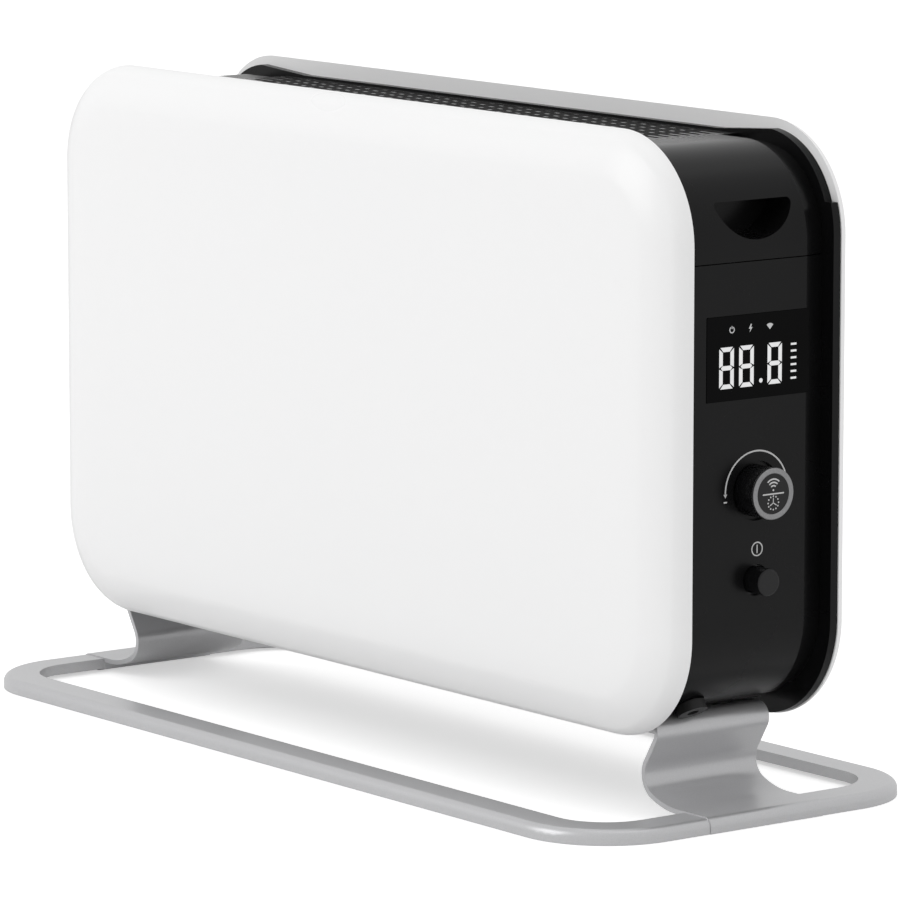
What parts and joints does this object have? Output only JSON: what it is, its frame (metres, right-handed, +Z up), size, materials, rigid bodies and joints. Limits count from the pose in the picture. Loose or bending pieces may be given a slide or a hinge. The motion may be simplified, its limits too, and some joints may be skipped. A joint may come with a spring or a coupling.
{
  "type": "convector heater",
  "caption": "Free-standing convector heater: soft white panels round a black core with a top grille, end controls and finger grips, on a flat tubular loop stand.",
  "frame": {"origin": "on the floor under the middle of the stand", "axes": "+X along the length, towards the control end; +Y from the front panel to the rear panel; +Z up"},
  "size_m": [0.6448, 0.262, 0.4005],
  "materials": {
    "white_paint": "gloss",
    "black_plastic": "satin",
    "knob_plastic": "gloss",
    "module_plastic": "matt",
    "terminal_plastic": "matt",
    "circuit_board": "satin",
    "gland_rubber": "satin",
    "smoked_window": "gloss",
    "satin_ring": "satin",
    "zinc_sheet": "satin",
    "black_steel": "matt",
    "switch_metal": "satin",
    "element_aluminium": "satin",
    "silver_paint": "satin",
    "silver_cast": "satin",
    "screw_steel": "satin"
  },
  "bodies": {
    "body": {"front_panel": "white_paint", "rear_panel": "white_paint", "front_frame": "black_plastic", "rear_frame": "black_plastic", "front_shield": "zinc_sheet", "rear_shield": "zinc_sheet", "top_grille": "black_plastic", "bottom_chassis": "black_steel", "right_grip_cover": "black_plastic", "right_control_cover": "black_plastic", "left_grip_cover": "black_plastic", "left_end_cover": "black_plastic", "display_window": "smoked_window", "display_module": "module_plastic", "control_board": "circuit_board", "encoder": "switch_metal", "power_switch": "module_plastic", "cable_gland": "gland_rubber", "heating_element": "element_aluminium", "element_brackets": "zinc_sheet", "thermal_cutout": "module_plastic", "bay_partition": "zinc_sheet", "power_board": "circuit_board", "relay": "module_plastic", "tip_over_switch": "module_plastic", "terminal_block": "terminal_plastic", "front_stand_tube": "silver_paint", "rear_stand_tube": "silver_paint", "right_foot": "silver_cast", "left_foot": "silver_cast", "foot_screws": "screw_steel"},
    "knob_push": {"encoder_plunger": "module_plastic"},
    "knob": {"knob_shaft": "switch_metal", "knob_body": "knob_plastic", "knob_ring": "satin_ring", "knob_cap": "knob_plastic"},
    "power_button": {"power_button": "knob_plastic"}
  },
  "joints": [
    {"name": "knob_press", "type": "slide", "parent": "body", "child": "knob_push", "axis": [-1, 0, 0], "range_m": [0, 0.0008], "stiffness_N_per_m": 3000, "springref_m": -0.0006},
    {"name": "knob_turn", "type": "hinge", "parent": "knob_push", "child": "knob", "pos_m": [0.3, 0.0045, 0.1928], "axis": [1, 0, 0], "continuous": true},
    {"name": "button_press", "type": "slide", "parent": "body", "child": "power_button", "axis": [-1, 0, 0], "range_m": [0, 0.0025], "stiffness_N_per_m": 900, "springref_m": -0.001}
  ]
}
